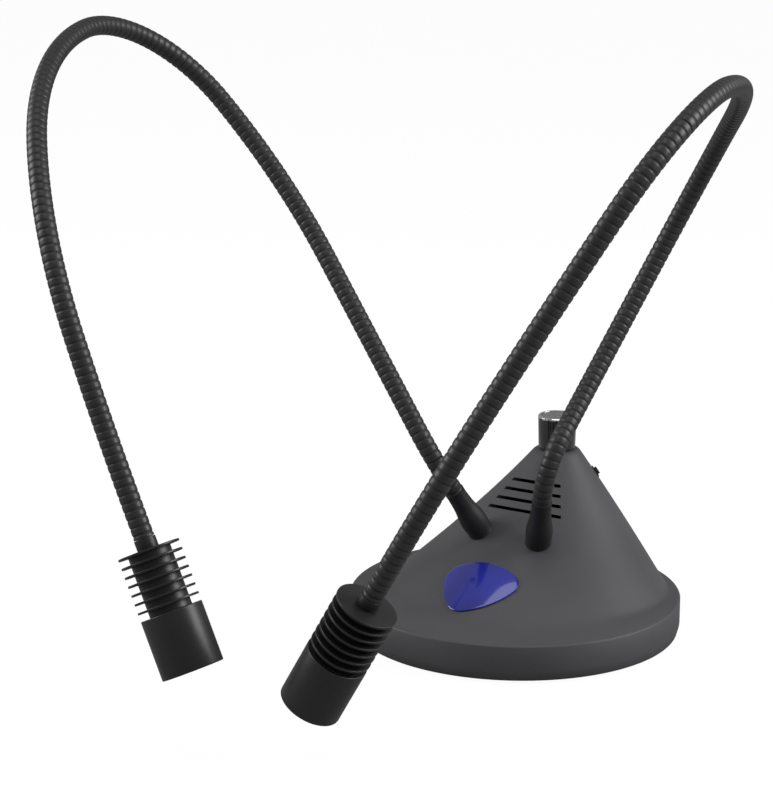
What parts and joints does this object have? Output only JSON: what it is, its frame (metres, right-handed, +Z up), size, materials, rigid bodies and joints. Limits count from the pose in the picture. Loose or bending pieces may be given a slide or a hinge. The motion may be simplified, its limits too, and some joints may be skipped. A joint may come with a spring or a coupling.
{
  "type": "twin gooseneck illuminator",
  "caption": "Lab bench illuminator: weighted leaning conical base with a dimmer knob and a pair of ribbed metal goosenecks, each ending in a finned LED head.",
  "frame": {"origin": "centre of the anti-slip pad's underside, where the base rests on the bench", "axes": "+Z up, front of the base and badge face -Y, +X to the right seen from the front"},
  "size_m": [0.2836, 0.2625, 0.2562],
  "materials": {
    "shell_plastic": "matte moulded, fine grain",
    "pad_rubber": "matte",
    "plate_steel": "satin black",
    "ballast_iron": "rough",
    "screw_steel": "zinc plated",
    "badge_plastic": "gloss blue",
    "board_laminate": "solder-masked laminate",
    "inductor_core": "ferrite and wire",
    "capacitor_sleeve": "shrunk sleeve",
    "transistor_case": "moulded",
    "plated_metal": "nickel plated",
    "pot_metal": "plain",
    "knob_plastic": "gloss black",
    "knob_chrome": "polished",
    "knob_disc": "spun",
    "switch_plastic": "gloss black",
    "inlet_plastic": "moulded",
    "boot_rubber": "matte",
    "hose_metal": "satin black",
    "head_aluminium": "black anodised",
    "led_substrate": "white solder mask",
    "led_dome": "clear over phosphor",
    "lens_glass": "clear",
    "ring_plastic": "satin black"
  },
  "bodies": {
    "base": {"base_shell": "shell_plastic", "base_plate": "plate_steel", "base_pad": "pad_rubber", "ballast_weight": "ballast_iron", "plate_screws": "screw_steel", "ballast_screws": "screw_steel", "badge": "badge_plastic", "driver_board": "board_laminate", "board_standoffs": "screw_steel", "board_screws": "screw_steel", "driver_inductor": "inductor_core", "driver_capacitors": "capacitor_sleeve", "driver_transistors": "transistor_case", "dimmer_potentiometer": "pot_metal", "potentiometer_nut": "plated_metal", "power_switch": "switch_plastic", "dc_inlet": "inlet_plastic", "inlet_nut": "plated_metal", "root_nuts": "plated_metal", "left_root_ferrule": "plated_metal", "right_root_ferrule": "plated_metal", "left_boot": "boot_rubber", "right_boot": "boot_rubber", "left_gooseneck_root": "hose_metal", "right_gooseneck_root": "hose_metal"},
    "knob": {"knob": "knob_plastic", "knob_ring": "knob_chrome", "knob_cap": "knob_disc", "potentiometer_shaft": "pot_metal"},
    "switch_button": {"switch_button": "switch_plastic"},
    "left_span_1": {"left_gooseneck_1": "hose_metal"},
    "left_span_2": {"left_gooseneck_2": "hose_metal"},
    "left_span_3": {"left_gooseneck_3": "hose_metal"},
    "left_span_4": {"left_gooseneck_4": "hose_metal"},
    "left_span_5": {"left_gooseneck_5": "hose_metal"},
    "left_span_6": {"left_gooseneck_6": "hose_metal"},
    "left_span_7": {"left_gooseneck_7": "hose_metal", "left_collar": "boot_rubber", "left_heat_sink": "head_aluminium", "left_snout": "head_aluminium", "left_led_board": "led_substrate", "left_led_emitter": "led_dome", "left_lens": "lens_glass", "left_lens_ring": "ring_plastic"},
    "right_span_1": {"right_gooseneck_1": "hose_metal"},
    "right_span_2": {"right_gooseneck_2": "hose_metal"},
    "right_span_3": {"right_gooseneck_3": "hose_metal"},
    "right_span_4": {"right_gooseneck_4": "hose_metal"},
    "right_span_5": {"right_gooseneck_5": "hose_metal"},
    "right_span_6": {"right_gooseneck_6": "hose_metal"},
    "right_span_7": {"right_gooseneck_7": "hose_metal", "right_collar": "boot_rubber", "right_heat_sink": "head_aluminium", "right_snout": "head_aluminium", "right_led_board": "led_substrate", "right_led_emitter": "led_dome", "right_lens": "lens_glass", "right_lens_ring": "ring_plastic"}
  },
  "joints": [
    {"name": "dimmer_turn", "type": "hinge", "parent": "base", "child": "knob", "pos_m": [0, 0.0334, 0.0719], "axis": [0, 0, -1], "range_deg": [0, 270]},
    {"name": "switch_press", "type": "slide", "parent": "base", "child": "switch_button", "axis": [-0.6308, -0.5483, -0.549], "range_m": [0, 0.0012], "stiffness_N_per_m": 400},
    {"name": "left_bend_1", "type": "hinge", "parent": "base", "child": "left_span_1", "pos_m": [-0.01825, -0.02187, 0.0636], "axis": [-0.0666, -0.8299, -0.554], "range_deg": [-15, 20]},
    {"name": "left_bend_2", "type": "hinge", "parent": "left_span_1", "child": "left_span_2", "pos_m": [-0.03115, -0.02907, 0.08896], "axis": [0.1166, 0.9932, 0], "range_deg": [-30, 15]},
    {"name": "left_bend_3", "type": "hinge", "parent": "left_span_2", "child": "left_span_3", "pos_m": [-0.08202, -0.02124, 0.15405], "axis": [0.1857, 0.9826, 0], "range_deg": [-30, 10]},
    {"name": "left_bend_4", "type": "hinge", "parent": "left_span_3", "child": "left_span_4", "pos_m": [-0.13455, -0.02475, 0.21776], "axis": [0.769, -0.0249, 0.6388], "range_deg": [-30, 6]},
    {"name": "left_bend_5", "type": "hinge", "parent": "left_span_4", "child": "left_span_5", "pos_m": [-0.15546, -0.08737, 0.25178], "axis": [-0.2784, 0.0468, -0.9593], "range_deg": [-30, 30]},
    {"name": "left_bend_6", "type": "hinge", "parent": "left_span_5", "child": "left_span_6", "pos_m": [-0.12391, -0.1529, 0.2163], "axis": [-0.8382, -0.5127, -0.1862], "range_deg": [-30, 20]},
    {"name": "left_bend_7", "type": "hinge", "parent": "left_span_6", "child": "left_span_7", "pos_m": [-0.08665, -0.17668, 0.14739], "axis": [0.2933, 0.9506, 0.1015], "range_deg": [-30, 30]},
    {"name": "right_bend_1", "type": "hinge", "parent": "base", "child": "right_span_1", "pos_m": [0.0229, -0.01742, 0.06482], "axis": [0.0363, -0.9007, -0.433], "range_deg": [-30, 15]},
    {"name": "right_bend_2", "type": "hinge", "parent": "right_span_1", "child": "right_span_2", "pos_m": [0.02858, -0.01127, 0.09147], "axis": [-0.284, -0.6215, 0.7301], "range_deg": [-6, 10]},
    {"name": "right_bend_3", "type": "hinge", "parent": "right_span_2", "child": "right_span_3", "pos_m": [0.0419, 0.03845, 0.1556], "axis": [0.2522, 0.8343, -0.4903], "range_deg": [-15, 6]},
    {"name": "right_bend_4", "type": "hinge", "parent": "right_span_3", "child": "right_span_4", "pos_m": [0.0821, 0.02507, 0.22022], "axis": [0.3528, 0.6969, 0.6243], "range_deg": [-10, 10]},
    {"name": "right_bend_5", "type": "hinge", "parent": "right_span_4", "child": "right_span_5", "pos_m": [0.11489, -0.04652, 0.24199], "axis": [-0.0085, 0.0374, 0.9993], "range_deg": [-15, 10]},
    {"name": "right_bend_6", "type": "hinge", "parent": "right_span_5", "child": "right_span_6", "pos_m": [0.10567, -0.1125, 0.20326], "axis": [0.6127, 0.5614, -0.5563], "range_deg": [-30, 30]},
    {"name": "right_bend_7", "type": "hinge", "parent": "right_span_6", "child": "right_span_7", "pos_m": [0.07339, -0.14552, 0.13431], "axis": [-0.5467, -0.6245, 0.5578], "range_deg": [-30, 20]}
  ]
}
